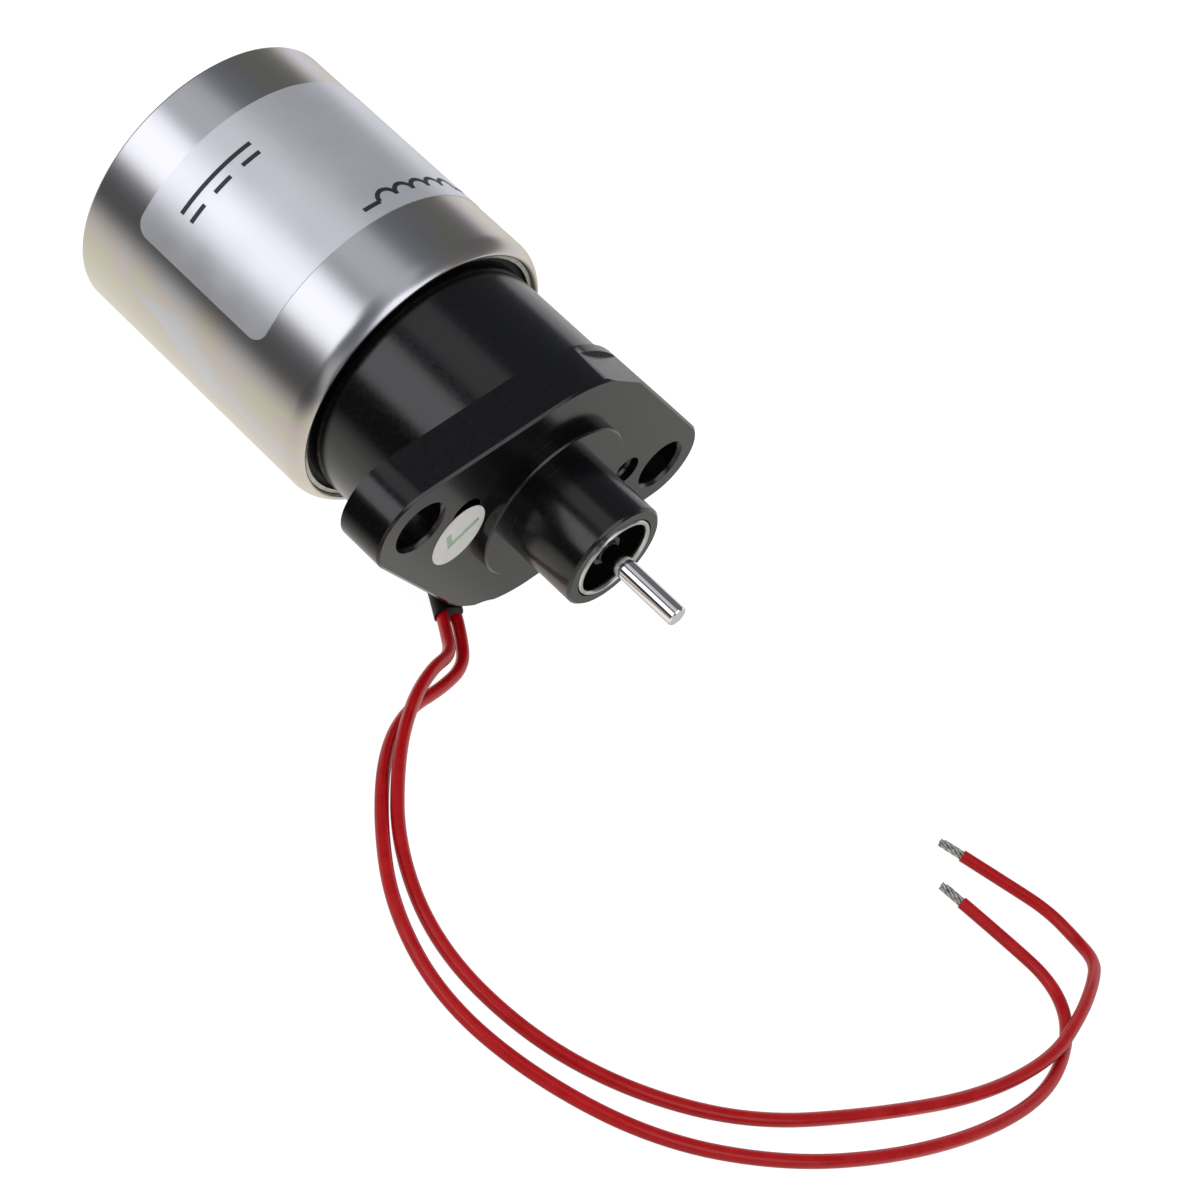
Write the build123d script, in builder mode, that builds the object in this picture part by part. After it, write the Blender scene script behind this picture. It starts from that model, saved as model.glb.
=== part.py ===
from build123d import *
import os
from math import cos, pi, radians, sin, sqrt, tan

# Fuel shut-off solenoid, lying on its side as it does on a bench.
# The origin is the centre of the flange's mounting face, +X runs along the push pin
# towards its tip, +Y runs along the line of the two bolt holes and +Z is up.
# All sizes are in millimetres, and stations along X are measured from the mounting face.

# Flange
flange_thickness = 8.0
flange_hub_step = 0.8
flange_lobe_radius = 8.0
flange_edge_chamfer = 0.4
bolt_spacing = 60.0
bolt_hole_radius = 4.2
bolt_hole_chamfer = 0.5
port_radius = 2.75
port_depth = 6.5
port_offset = 20.0
port_height = 0.6
lead_notch_radius = 16.0
lead_notch_rise = 0.1

# Body, pilot and nose
body_exposed_length = 27.4
collar_length = 5.6
pilot_radius = 14.0
pilot_height = 2.0
pilot_chamfer = 0.3
nose_radius = 9.2
nose_reach = 14.7
nose_chamfer = 0.45
flat_cut = 0.7
flat_tilt = 12.0
flat_length = 6.4

# Can
can_radius = 25.0
can_wall = 1.5
can_length = 51.6
can_rear_edge_radius = 0.5
can_inner_edge_radius = 0.5
shoulder_radius = 4.0
lip_turn_in = 1.9

# Coil
bobbin_bore_clearance = 0.05
bobbin_barrel_wall = 1.2
bobbin_flange_clearance = 0.3
bobbin_flange_thickness = 1.6
winding_inset = 1.2
tape_thickness = 0.35
pole_clearance = 0.15
front_pole_thickness = 5.0
rear_pole_thickness = 3.5
rear_gap = 0.1

# Plunger, its tube and its stops
stroke = 10.0
plunger_radius = 8.0
plunger_length = 26.0
plunger_edge_chamfer = 0.5
sliding_clearance = 0.05
tube_wall = 0.65
tube_overlap = 13.0
core_spigot_radius = 5.0
shim_thickness = 0.5
shim_bore_radius = 4.4
limit_gap = 0.1
stop_gap = 0.05
bumper_thickness = 2.0
bumper_bore_radius = 2.6
bumper_radius = 7.6
stop_washer_thickness = 1.2
stop_washer_radius = 6.0
vent_groove_width = 1.6
vent_groove_depth = 0.7

# Push pin, bush and nose seal
pin_radius = 1.7
pin_tip_reach = 28.2
pin_engagement = 13.0
pin_end_chamfer = 0.2
pin_clearance = 0.03
bush_radius = 4.0
bush_length = 15.0
seal_radius = 7.35
seal_case_wall = 0.6
seal_depth = 6.2
seal_proud = 0.2
seal_floor_thickness = 1.5
lip_clearance = 0.05
lip_reach = 4.4
lip_hub_radius = 3.6
lip_wall = 0.9
lip_edge = 0.3
lip_root = 0.6

# Return spring
spring_wire_radius = 0.4
spring_coil_radius = 2.9
spring_turns = 9
spring_pocket_clearance = 0.3
core_pocket_depth = 9.0
plunger_pocket_depth = 6.0

# Packing between the can's lip and the body
packing_gap = 1.85
packing_fit = 0.02
packing_setback = 1.9
packing_ring_thickness = 0.8
packing_ring_width = 0.65
packing_ring_gap = 0.1

# Leads, lead sleeve and its way out of the body
lead_diameter = 2.0
lead_spacing = 2.5
sleeve_width = 5.2
sleeve_height = 2.9
sleeve_rest_gap = 0.15
passage_radius = 2.9
passage_inset = 4.25
slot_width = 6.0
slot_rear = -26.0
slot_front = -11.0
slot_clearance = 0.15
splice_radius = 1.15
hump_foot_rise = 1.4
hump_top_rise = 2.5
bare_end_length = 4.2
bare_end_radius = 0.75

# Label
label_rear = -69.3
label_front = -40.5
label_edge_height = 0.0
label_thickness = 0.1
label_corner_radius = 2.5

# Radii that follow from the can's and from the fits inside it
can_inner_radius = can_radius - can_wall
lip_radius = can_radius - lip_turn_in
body_radius = lip_radius - packing_gap
collar_radius = can_inner_radius - pole_clearance
pole_radius = can_inner_radius - pole_clearance
bobbin_flange_radius = can_inner_radius - bobbin_flange_clearance
winding_radius = bobbin_flange_radius - winding_inset
flange_hub_radius = body_radius + flange_hub_step
flat_distance = flange_hub_radius - flat_cut
passage_drop = body_radius - passage_inset
tube_bore_radius = plunger_radius + sliding_clearance
tube_radius = tube_bore_radius + tube_wall
guide_bore_radius = tube_radius + bobbin_bore_clearance
spring_pocket_radius = spring_coil_radius + spring_wire_radius + spring_pocket_clearance

# Stations along X that follow from the sizes above
shoulder_drop = lip_radius - (can_radius - shoulder_radius)
shoulder_start = -body_exposed_length - sqrt(shoulder_radius**2 - shoulder_drop**2)
can_rear = -body_exposed_length - can_length
can_floor = can_rear + can_wall
collar_front = shoulder_start - 2 * rear_gap
collar_rear = collar_front - collar_length
front_pole_rear = collar_rear - front_pole_thickness
rear_pole_rear = can_floor + rear_gap
rear_pole_front = rear_pole_rear + rear_pole_thickness
nose_recess = nose_reach - seal_depth + seal_proud
bush_rear = nose_recess - bush_length
stop_face = bush_rear - bumper_thickness
plunger_front = stop_face - stop_gap - stop_washer_thickness
plunger_rear = plunger_front - plunger_length
core_front = plunger_rear - stroke - limit_gap - shim_thickness
spring_rear = core_front - core_pocket_depth
spring_front = plunger_rear + plunger_pocket_depth

# Heights of the bench, the sleeve's end, the leads and the tops of their humps
floor_height = -can_radius
sleeve_end_height = floor_height + sleeve_height / 2 + sleeve_rest_gap
lead_height = floor_height + lead_diameter / 2
hump_foot = lead_height + hump_foot_rise
hump_top = lead_height + hump_top_rise

# Centre line of the lead sleeve: out of the body's passage, under the flange, to its cut end.
sleeve_route = [
    (collar_rear, 0.0, -passage_drop),
    (slot_rear, 0.0, -passage_drop),
    (-12.5, 0.2, sleeve_end_height + 0.4),
    (-6.2, -2.55, sleeve_end_height),
    (-0.8, -6.6, sleeve_end_height),
]

# Free leads, lying on the bench. Lead A passes over lead B twice, in two low humps.
lead_a_route = [
    (-1.55, -7.6, sleeve_end_height),
    (2.45, -10.6, sleeve_end_height),
    (6.6, -14.8, hump_foot),
    (8.6, -22.0, hump_top),
    (12.9, -31.2, hump_top),
    (21.0, -43.0, hump_top),
    (33.0, -54.0, lead_height),
    (49.2, -62.6, lead_height),
    (66.0, -62.0, lead_height),
    (80.0, -54.5, lead_height),
    (91.6, -41.0, lead_height),
    (99.2, -21.0, lead_height),
    (105.3, 0.5, lead_height),
    (107.0, 18.5, hump_foot),
    (104.2, 31.0, hump_top),
    (101.0, 40.4, hump_top),
    (98.0, 47.3, hump_foot),
    (92.9, 50.6, lead_height),
    (86.6, 51.3, lead_height),
    (79.3, 48.6, lead_height),
    (71.8, 45.7, lead_height),
]
lead_b_route = [
    (-0.05, -5.6, sleeve_end_height),
    (3.79, -8.48, sleeve_end_height),
    (8.4, -12.6, lead_height),
    (10.8, -20.5, lead_height),
    (12.3, -30.0, lead_height),
    (17.5, -40.5, lead_height),
    (28.0, -52.5, lead_height),
    (41.0, -63.5, lead_height),
    (56.0, -69.2, lead_height),
    (71.5, -66.8, lead_height),
    (87.0, -58.0, lead_height),
    (98.5, -42.5, lead_height),
    (106.0, -23.5, lead_height),
    (110.2, -3.0, lead_height),
    (110.2, 15.0, lead_height),
    (104.5, 30.0, lead_height),
    (97.0, 36.5, lead_height),
    (87.3, 36.2, lead_height),
    (78.6, 35.4, lead_height),
]

os.makedirs("parts", exist_ok=True)


def save(piece, name):
    """Label a finished piece and write it to a file of its own."""
    piece.part.label = name
    export_step(piece.part, f"parts/{name}.step")


def washer(rear, thickness, outer_radius, bore_radius):
    """Draw a plain ring around the X axis, from its rear face forwards."""
    with BuildSketch(Plane.YZ.offset(rear)) as ring:
        Circle(outer_radius)
        Circle(bore_radius, mode=Mode.SUBTRACT)
    extrude(ring.sketch, amount=thickness)


def corner_radii(points):
    """Give each corner of a route the largest arc that its two runs leave room for."""
    corners = [Vector(*point) for point in points]
    radii = []
    for before, corner, after in zip(corners, corners[1:], corners[2:]):
        first_run = corner - before
        second_run = after - corner
        half_turn = radians(first_run.get_angle(second_run)) / 2
        shorter_run = min(first_run.length, second_run.length)
        radii.append(0.45 * shorter_run / tan(half_turn))
    return radii


# Drawn steel can: closed rear end, rounded shoulder turned in to an open lip.
with BuildPart() as can:
    inner_shoulder_radius = shoulder_radius - can_wall
    inner_lip = shoulder_start + sqrt(inner_shoulder_radius**2 - shoulder_drop**2)
    can_front = -body_exposed_length
    with BuildSketch(Plane.XZ):
        with BuildLine():
            Line((can_rear, 0), (can_rear, can_radius - can_rear_edge_radius))
            RadiusArc(
                (can_rear, can_radius - can_rear_edge_radius),
                (can_rear + can_rear_edge_radius, can_radius),
                can_rear_edge_radius,
            )
            Line((can_rear + can_rear_edge_radius, can_radius), (shoulder_start, can_radius))
            RadiusArc((shoulder_start, can_radius), (can_front, lip_radius), shoulder_radius)
            Line((can_front, lip_radius), (inner_lip, lip_radius))
            RadiusArc(
                (inner_lip, lip_radius), (shoulder_start, can_inner_radius), -inner_shoulder_radius
            )
            Line((shoulder_start, can_inner_radius), (can_floor + can_inner_edge_radius, can_inner_radius))
            RadiusArc(
                (can_floor + can_inner_edge_radius, can_inner_radius),
                (can_floor, can_inner_radius - can_inner_edge_radius),
                -can_inner_edge_radius,
            )
            Line((can_floor, can_inner_radius - can_inner_edge_radius), (can_floor, 0))
            Line((can_floor, 0), (can_rear, 0))
        make_face()
    revolve(axis=Axis.X)
save(can, "can")

# Foil label on the upper half of the can, with rounded corners low on both sides.
with BuildPart() as label:
    washer(label_rear, label_front - label_rear, can_radius + label_thickness, can_radius)
    with BuildSketch(Plane.XZ) as label_outline:
        with Locations(((label_rear + label_front) / 2, label_edge_height)):
            Rectangle(label_front - label_rear, 2 * can_radius, align=(Align.CENTER, Align.MIN))
        fillet(label_outline.vertices().group_by(Axis.Y)[0], radius=label_corner_radius)
    extrude(amount=2 * can_radius, both=True, mode=Mode.INTERSECT)
save(label, "label")

# Machined body: collar under the can's shoulder, barrel, two-bolt flange, pilot and nose in one piece.
with BuildPart() as body:
    with BuildSketch(Plane.XZ):
        with BuildLine():
            Polyline(
                (collar_rear, 0),
                (collar_rear, collar_radius),
                (collar_front, collar_radius),
                (collar_front, body_radius),
                (0, body_radius),
                (0, pilot_radius),
                (pilot_height - pilot_chamfer, pilot_radius),
                (pilot_height, pilot_radius - pilot_chamfer),
                (pilot_height, nose_radius),
                (nose_reach - nose_chamfer, nose_radius),
                (nose_reach, nose_radius - nose_chamfer),
                (nose_reach, 0),
                close=True,
            )
        make_face()
    revolve(axis=Axis.X)
    with BuildSketch(Plane.YZ.offset(-flange_thickness)):
        Circle(flange_hub_radius)
        with GridLocations(bolt_spacing, 0, 2, 1):
            Circle(flange_lobe_radius)
        make_hull()
    extrude(amount=flange_thickness)
    mounting_face = body.faces().filter_by_position(Axis.X, -0.01, 0.01)[0]
    chamfer(mounting_face.outer_wire().edges(), flange_edge_chamfer)
    with BuildSketch(Plane.XZ):
        with BuildLine():
            Polyline(
                (collar_rear, 0),
                (collar_rear, guide_bore_radius),
                (stop_face, guide_bore_radius),
                (stop_face, bumper_radius),
                (bush_rear, bumper_radius),
                (bush_rear, bush_radius),
                (nose_recess, bush_radius),
                (nose_recess, seal_radius),
                (nose_reach, seal_radius),
                (nose_reach, 0),
                close=True,
            )
        make_face()
    revolve(axis=Axis.X, mode=Mode.SUBTRACT)
    with Locations(Plane.YZ):
        with GridLocations(bolt_spacing, 0, 2, 1):
            CounterSinkHole(bolt_hole_radius, bolt_hole_radius + bolt_hole_chamfer, flange_thickness)
        with Locations((0, port_height)):
            with GridLocations(2 * port_offset, 0, 2, 1):
                Hole(port_radius, port_depth)
    # Shallow notch in the flange's lower edge that lets the leads past
    with BuildSketch(Plane.YZ):
        with Locations((0, -(body_radius + lead_notch_rise + lead_notch_radius))):
            Circle(lead_notch_radius)
    extrude(amount=-flange_thickness, mode=Mode.SUBTRACT)
    # Index flat on top of the flange, tipped towards +Y and ending short of the flange's rear
    tilt = radians(flat_tilt)
    with BuildSketch(Plane.YZ):
        with Locations((flat_distance * sin(tilt), flat_distance * cos(tilt))):
            Rectangle(
                2 * flange_hub_radius,
                flange_hub_radius,
                rotation=-flat_tilt,
                align=(Align.CENTER, Align.MIN),
            )
    extrude(amount=-flat_length, mode=Mode.SUBTRACT)
    # Way out for the leads: a passage along the barrel and a slot in its underside
    with BuildSketch(Plane.YZ.offset(collar_rear)):
        with Locations((0, -passage_drop)):
            Circle(passage_radius)
    extrude(amount=slot_rear + slot_width / 2 - collar_rear, mode=Mode.SUBTRACT)
    slot_roof = -passage_drop + sleeve_height / 2 + slot_clearance
    with BuildSketch(Plane.XY.offset(-can_radius)):
        with Locations(((slot_rear + slot_front) / 2, 0)):
            SlotOverall(slot_front - slot_rear, slot_width)
    extrude(amount=slot_roof + can_radius, mode=Mode.SUBTRACT)
save(body, "body")

# Rubber packing between the can's lip and the barrel.
with BuildPart() as body_packing:
    packing_front = -body_exposed_length - packing_setback
    washer(collar_front, packing_front - collar_front, lip_radius - packing_fit, body_radius + packing_fit)
save(body_packing, "body_packing")

# Thin steel ring that holds the packing in.
with BuildPart() as packing_ring:
    washer(
        packing_front,
        packing_ring_thickness,
        lip_radius - packing_ring_gap,
        lip_radius - packing_ring_gap - packing_ring_width,
    )
save(packing_ring, "packing_ring")

# Front pole washer: carries the flux from the can to the guide tube.
with BuildPart() as front_pole:
    washer(front_pole_rear, front_pole_thickness, pole_radius, guide_bore_radius)
    with BuildSketch(Plane.YZ.offset(front_pole_rear)):
        with Locations((0, -passage_drop)):
            Circle(passage_radius)
    extrude(amount=front_pole_thickness, mode=Mode.SUBTRACT)
save(front_pole, "front_pole")

# Rear pole washer on the can's floor, its edge broken to clear the can's inner corner.
with BuildPart() as rear_pole:
    washer(rear_pole_rear, rear_pole_thickness, pole_radius, core_spigot_radius)
    rear_rim = rear_pole.edges().filter_by(GeomType.CIRCLE).group_by(Axis.X)[0].sort_by(SortBy.RADIUS)[-1]
    chamfer(rear_rim, can_inner_edge_radius)
save(rear_pole, "rear_pole")

# Fixed core: a stop for the plunger, with a pocket for the spring and a spigot in the rear pole.
with BuildPart() as fixed_core:
    with BuildSketch(Plane.XZ):
        with BuildLine():
            Polyline(
                (rear_pole_rear, 0),
                (rear_pole_rear, core_spigot_radius),
                (rear_pole_front, core_spigot_radius),
                (rear_pole_front, plunger_radius),
                (core_front, plunger_radius),
                (core_front, spring_pocket_radius),
                (spring_rear, spring_pocket_radius),
                (spring_rear, 0),
                close=True,
            )
        make_face()
    revolve(axis=Axis.X)
save(fixed_core, "fixed_core")

# Brass shim that keeps the plunger from sticking to the core.
with BuildPart() as residual_shim:
    washer(core_front, shim_thickness, plunger_radius, shim_bore_radius)
save(residual_shim, "residual_shim")

# Guide tube of brass, from the core's front end to the stop in the body.
with BuildPart() as guide_tube:
    tube_rear = core_front - tube_overlap
    washer(tube_rear, stop_face - tube_rear, tube_radius, tube_bore_radius)
save(guide_tube, "guide_tube")

# Bobbin: barrel and two flanges, the front one notched for the coil's ends.
with BuildPart() as bobbin:
    barrel_radius = guide_bore_radius + bobbin_barrel_wall
    with BuildSketch(Plane.XZ):
        with BuildLine():
            Polyline(
                (rear_pole_front, guide_bore_radius),
                (rear_pole_front, bobbin_flange_radius),
                (rear_pole_front + bobbin_flange_thickness, bobbin_flange_radius),
                (rear_pole_front + bobbin_flange_thickness, barrel_radius),
                (front_pole_rear - bobbin_flange_thickness, barrel_radius),
                (front_pole_rear - bobbin_flange_thickness, bobbin_flange_radius),
                (front_pole_rear, bobbin_flange_radius),
                (front_pole_rear, guide_bore_radius),
                close=True,
            )
        make_face()
    revolve(axis=Axis.X)
    with BuildSketch(Plane.YZ.offset(front_pole_rear - bobbin_flange_thickness)):
        with Locations((0, -passage_drop)):
            Circle(passage_radius)
    extrude(amount=bobbin_flange_thickness, mode=Mode.SUBTRACT)
save(bobbin, "bobbin")

# Copper winding between the flanges, and the tape over it.
winding_rear = rear_pole_front + bobbin_flange_thickness
winding_length = front_pole_rear - bobbin_flange_thickness - winding_rear
with BuildPart() as winding:
    washer(winding_rear, winding_length, winding_radius, barrel_radius)
save(winding, "winding")

with BuildPart() as winding_tape:
    washer(winding_rear, winding_length, winding_radius + tape_thickness, winding_radius)
save(winding_tape, "winding_tape")

# Plunger: steel cylinder with a spring pocket behind, a pin hole in front and two vent grooves.
with BuildPart() as plunger:
    with BuildSketch(Plane.YZ.offset(plunger_rear)):
        Circle(plunger_radius)
    extrude(amount=plunger_length)
    chamfer(plunger.edges().filter_by(GeomType.CIRCLE), plunger_edge_chamfer)
    with BuildSketch(Plane.YZ.offset(plunger_rear)):
        Circle(spring_pocket_radius)
    extrude(amount=plunger_pocket_depth, mode=Mode.SUBTRACT)
    with BuildSketch(Plane.YZ.offset(plunger_front)):
        Circle(pin_radius)
    extrude(amount=-pin_engagement, mode=Mode.SUBTRACT)
    with BuildSketch(Plane.YZ.offset(plunger_rear)):
        with GridLocations(0, 2 * plunger_radius, 1, 2):
            Rectangle(vent_groove_width, 2 * vent_groove_depth)
    extrude(amount=plunger_length, mode=Mode.SUBTRACT)
save(plunger, "plunger")

# Push pin, pressed into the plunger and running out through the nose.
with BuildPart() as push_pin:
    pin_rear = plunger_front - pin_engagement
    with BuildSketch(Plane.YZ.offset(pin_rear)):
        Circle(pin_radius)
    extrude(amount=pin_tip_reach - pin_rear)
    chamfer(push_pin.edges().filter_by(GeomType.CIRCLE), pin_end_chamfer)
save(push_pin, "push_pin")

# Steel washer on the pin that meets the rubber bumper when the spring pushes the pin out.
with BuildPart() as stop_washer:
    washer(plunger_front, stop_washer_thickness, stop_washer_radius, pin_radius)
save(stop_washer, "stop_washer")

with BuildPart() as stop_bumper:
    washer(stop_face, bumper_thickness, bumper_radius, bumper_bore_radius)
save(stop_bumper, "stop_bumper")

# Return spring between the core's pocket and the plunger's pocket.
with BuildPart() as return_spring:
    coil_height = spring_front - spring_rear - 2 * spring_wire_radius
    with BuildLine():
        coil = Helix(
            pitch=coil_height / spring_turns,
            height=coil_height,
            radius=spring_coil_radius,
            center=(spring_rear + spring_wire_radius, 0, 0),
            direction=(1, 0, 0),
        )
    with BuildSketch(Plane(origin=coil @ 0, z_dir=coil % 0)):
        Circle(spring_wire_radius)
    sweep(path=coil, is_frenet=True)
save(return_spring, "return_spring")

# Bronze bush that guides the pin.
with BuildPart() as nose_bush:
    washer(bush_rear, bush_length, bush_radius, pin_radius + pin_clearance)
save(nose_bush, "nose_bush")

# Bright steel case of the nose seal, standing a little proud of the nose.
with BuildPart() as seal_case:
    washer(nose_recess, nose_reach + seal_proud - nose_recess, seal_radius, seal_radius - seal_case_wall)
save(seal_case, "seal_case")

# Rubber of the nose seal: a floor bonded in the case and a lip that rises around the pin.
with BuildPart() as seal_lip:
    bonded_radius = seal_radius - seal_case_wall
    wiping_radius = pin_radius + lip_clearance
    floor_front = nose_recess + seal_floor_thickness
    lip_front = nose_recess + lip_reach
    with BuildSketch(Plane.XZ):
        with BuildLine():
            Polyline(
                (nose_recess, bonded_radius),
                (nose_recess, wiping_radius + lip_wall),
                (lip_front - 2 * lip_edge, wiping_radius + lip_edge),
                (lip_front - lip_edge, wiping_radius),
                (lip_front, wiping_radius + lip_edge),
                (lip_front, wiping_radius + lip_wall),
                (floor_front + lip_root, lip_hub_radius),
                (floor_front, lip_hub_radius + lip_root),
                (floor_front, bonded_radius),
                close=True,
            )
        make_face()
    revolve(axis=Axis.X)
save(seal_lip, "seal_lip")

# Heat-shrunk sleeve over both leads: a flat oval that comes out of the body's underside.
sleeve_radii = corner_radii(sleeve_route)
with BuildPart() as lead_sleeve:
    with BuildLine():
        sleeve_path = FilletPolyline(*sleeve_route, radius=sleeve_radii)
    with BuildSketch(Plane(origin=sleeve_route[0], x_dir=(0, 1, 0), z_dir=(1, 0, 0))):
        SlotOverall(sleeve_width, sleeve_height)
    sweep(path=sleeve_path)
save(lead_sleeve, "lead_sleeve")

# Potting around the sleeve where it leaves the body.
with BuildPart() as lead_potting:
    with BuildSketch(Plane.YZ.offset(slot_rear)):
        Circle(body_radius)
    extrude(amount=slot_front - slot_rear)
    with BuildSketch(Plane.XY.offset(-can_radius)):
        with Locations(((slot_rear + slot_front) / 2, 0)):
            SlotOverall(slot_front - slot_rear, slot_width)
    extrude(amount=slot_roof + can_radius, mode=Mode.INTERSECT)
    add(lead_sleeve.part, mode=Mode.SUBTRACT)
save(lead_potting, "lead_potting")

# Crimped joints between the coil's ends and the leads, in the front pole's passage.
with BuildPart() as lead_splices:
    with BuildSketch(Plane.YZ.offset(front_pole_rear)):
        with Locations((0, -passage_drop)):
            with GridLocations(lead_spacing, 0, 2, 1):
                Circle(splice_radius)
    extrude(amount=front_pole_thickness)
save(lead_splices, "lead_splices")

# The two free leads and their bare tinned ends.
for lead_name, route in (("lead_a", lead_a_route), ("lead_b", lead_b_route)):
    radii = corner_radii(route)
    with BuildPart() as lead:
        with BuildLine():
            lead_path = FilletPolyline(*route, radius=radii)
        with BuildSketch(Plane(origin=lead_path @ 0, z_dir=lead_path % 0)):
            Circle(lead_diameter / 2)
        sweep(path=lead_path)
    save(lead, lead_name)
    with BuildPart() as bare_end:
        with BuildSketch(Plane(origin=lead_path @ 1, z_dir=lead_path % 1)):
            Circle(bare_end_radius)
        extrude(amount=bare_end_length)
    save(bare_end, f"{lead_name}_end")
    expected_volume = pi * (lead_diameter / 2) ** 2 * lead_path.length
    print(lead_name, "length", round(lead_path.length, 1), "radii", [round(r, 1) for r in radii])
    print("  volume", round(lead.part.volume, 2), "section times length", round(expected_volume, 2))
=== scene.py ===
from math import asin, atan2, cos, degrees, hypot, pi, radians, sin, sqrt

import bmesh
import bpy
from mathutils import Matrix, Vector


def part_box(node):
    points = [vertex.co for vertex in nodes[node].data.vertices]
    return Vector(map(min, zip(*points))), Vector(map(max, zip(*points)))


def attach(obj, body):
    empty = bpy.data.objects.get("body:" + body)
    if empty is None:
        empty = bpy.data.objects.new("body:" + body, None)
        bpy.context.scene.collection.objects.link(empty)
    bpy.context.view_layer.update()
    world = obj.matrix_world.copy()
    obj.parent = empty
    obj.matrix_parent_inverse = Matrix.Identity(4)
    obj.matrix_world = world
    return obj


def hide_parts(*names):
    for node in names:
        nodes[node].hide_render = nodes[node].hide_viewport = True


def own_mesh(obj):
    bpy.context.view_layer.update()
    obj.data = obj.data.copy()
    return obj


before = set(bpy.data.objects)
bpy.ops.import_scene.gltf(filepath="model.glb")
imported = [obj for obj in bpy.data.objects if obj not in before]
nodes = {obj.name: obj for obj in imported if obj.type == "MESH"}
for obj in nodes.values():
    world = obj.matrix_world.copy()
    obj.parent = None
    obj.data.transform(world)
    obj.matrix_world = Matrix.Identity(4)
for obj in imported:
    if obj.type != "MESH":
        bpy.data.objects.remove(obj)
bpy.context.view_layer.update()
mm = 0.001

# Camera: above the pin's end of the solenoid and to one side of it, rolled so that the
# can points to the upper left of the picture, with a long lens.
camera_place = Vector((0.17061, -0.35597, 0.21548))
camera_right = Vector((0.6823, 0.5768, 0.4493)).normalized()
camera_back = camera_right.cross(Vector((-0.6445, 0.1843, 0.7421))).normalized()
camera_up = camera_back.cross(camera_right)
lens = bpy.data.cameras.new("camera")
lens.sensor_width = 36
lens.lens = 90.68
lens.clip_start = 0.01
camera = bpy.data.objects.new("camera", lens)
turn = Matrix((camera_right, camera_up, camera_back)).transposed().to_4x4()
camera.matrix_world = Matrix.Translation(camera_place) @ turn
bpy.context.scene.collection.objects.link(camera)
bpy.context.scene.camera = camera
bpy.context.scene.view_settings.view_transform = "Standard"


# Red leads: stranded copper wire in glossy red PVC, 2 mm across, lying loose on the bench.
# Lead A passes over lead B twice. Their points are those of the part's own route.
lead_diameter = 2.0 * mm
lead_height = -24.0 * mm
sleeve_end_height = -23.4 * mm
hump_foot = lead_height + 1.4 * mm
hump_top = lead_height + 2.5 * mm
lead_a_route = [
    (-1.55 * mm, -7.6 * mm, sleeve_end_height),
    (2.45 * mm, -10.6 * mm, sleeve_end_height),
    (6.6 * mm, -14.8 * mm, hump_foot),
    (8.6 * mm, -22.0 * mm, hump_top),
    (12.9 * mm, -31.2 * mm, hump_top),
    (21.0 * mm, -43.0 * mm, hump_top),
    (33.0 * mm, -54.0 * mm, lead_height),
    (49.2 * mm, -62.6 * mm, lead_height),
    (66.0 * mm, -62.0 * mm, lead_height),
    (80.0 * mm, -54.5 * mm, lead_height),
    (91.6 * mm, -41.0 * mm, lead_height),
    (99.2 * mm, -21.0 * mm, lead_height),
    (105.3 * mm, 0.5 * mm, lead_height),
    (107.0 * mm, 18.5 * mm, hump_foot),
    (104.2 * mm, 31.0 * mm, hump_top),
    (101.0 * mm, 40.4 * mm, hump_top),
    (98.0 * mm, 47.3 * mm, hump_foot),
    (92.9 * mm, 50.6 * mm, lead_height),
    (86.6 * mm, 51.3 * mm, lead_height),
    (79.3 * mm, 48.6 * mm, lead_height),
    (71.8 * mm, 45.7 * mm, lead_height),
]
lead_b_route = [
    (-0.05 * mm, -5.6 * mm, sleeve_end_height),
    (3.79 * mm, -8.48 * mm, sleeve_end_height),
    (8.4 * mm, -12.6 * mm, lead_height),
    (10.8 * mm, -20.5 * mm, lead_height),
    (12.3 * mm, -30.0 * mm, lead_height),
    (17.5 * mm, -40.5 * mm, lead_height),
    (28.0 * mm, -52.5 * mm, lead_height),
    (41.0 * mm, -63.5 * mm, lead_height),
    (56.0 * mm, -69.2 * mm, lead_height),
    (71.5 * mm, -66.8 * mm, lead_height),
    (87.0 * mm, -58.0 * mm, lead_height),
    (98.5 * mm, -42.5 * mm, lead_height),
    (106.0 * mm, -23.5 * mm, lead_height),
    (110.2 * mm, -3.0 * mm, lead_height),
    (110.2 * mm, 15.0 * mm, lead_height),
    (104.5 * mm, 30.0 * mm, lead_height),
    (97.0 * mm, 36.5 * mm, lead_height),
    (87.3 * mm, 36.2 * mm, lead_height),
    (78.6 * mm, 35.4 * mm, lead_height),
]


def new_finish(name, colour, roughness, metallic=0.0):
    """Start a material, and set its main shader to one colour, roughness and metalness."""
    finish = bpy.data.materials.new(name)
    finish.use_nodes = True
    shader = finish.node_tree.nodes["Principled BSDF"]
    shader.inputs["Base Color"].default_value = (*colour, 1)
    shader.inputs["Roughness"].default_value = roughness
    shader.inputs["Metallic"].default_value = metallic
    return finish


def add_node(finish, kind, values=None, **settings):
    """Add a shader node with these settings and socket values."""
    node = finish.node_tree.nodes.new("ShaderNode" + kind)
    for name, value in settings.items():
        setattr(node, name, value)
    for name, value in (values or {}).items():
        node.inputs[name].default_value = value
    return node


def connect(finish, source, target):
    """Join an output socket to an input socket."""
    finish.node_tree.links.new(source, target)


def place_on_object(finish, stretch=(1, 1, 1)):
    """Give the point on the object, stretched along its axes, for a pattern to follow."""
    where = add_node(finish, "TexCoord")
    mapping = add_node(finish, "Mapping", {"Scale": stretch})
    connect(finish, where.outputs["Object"], mapping.inputs["Vector"])
    return mapping.outputs["Vector"]


noise_low = 0.3
noise_high = 0.7
grain_depth = 0.05 * mm


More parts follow.
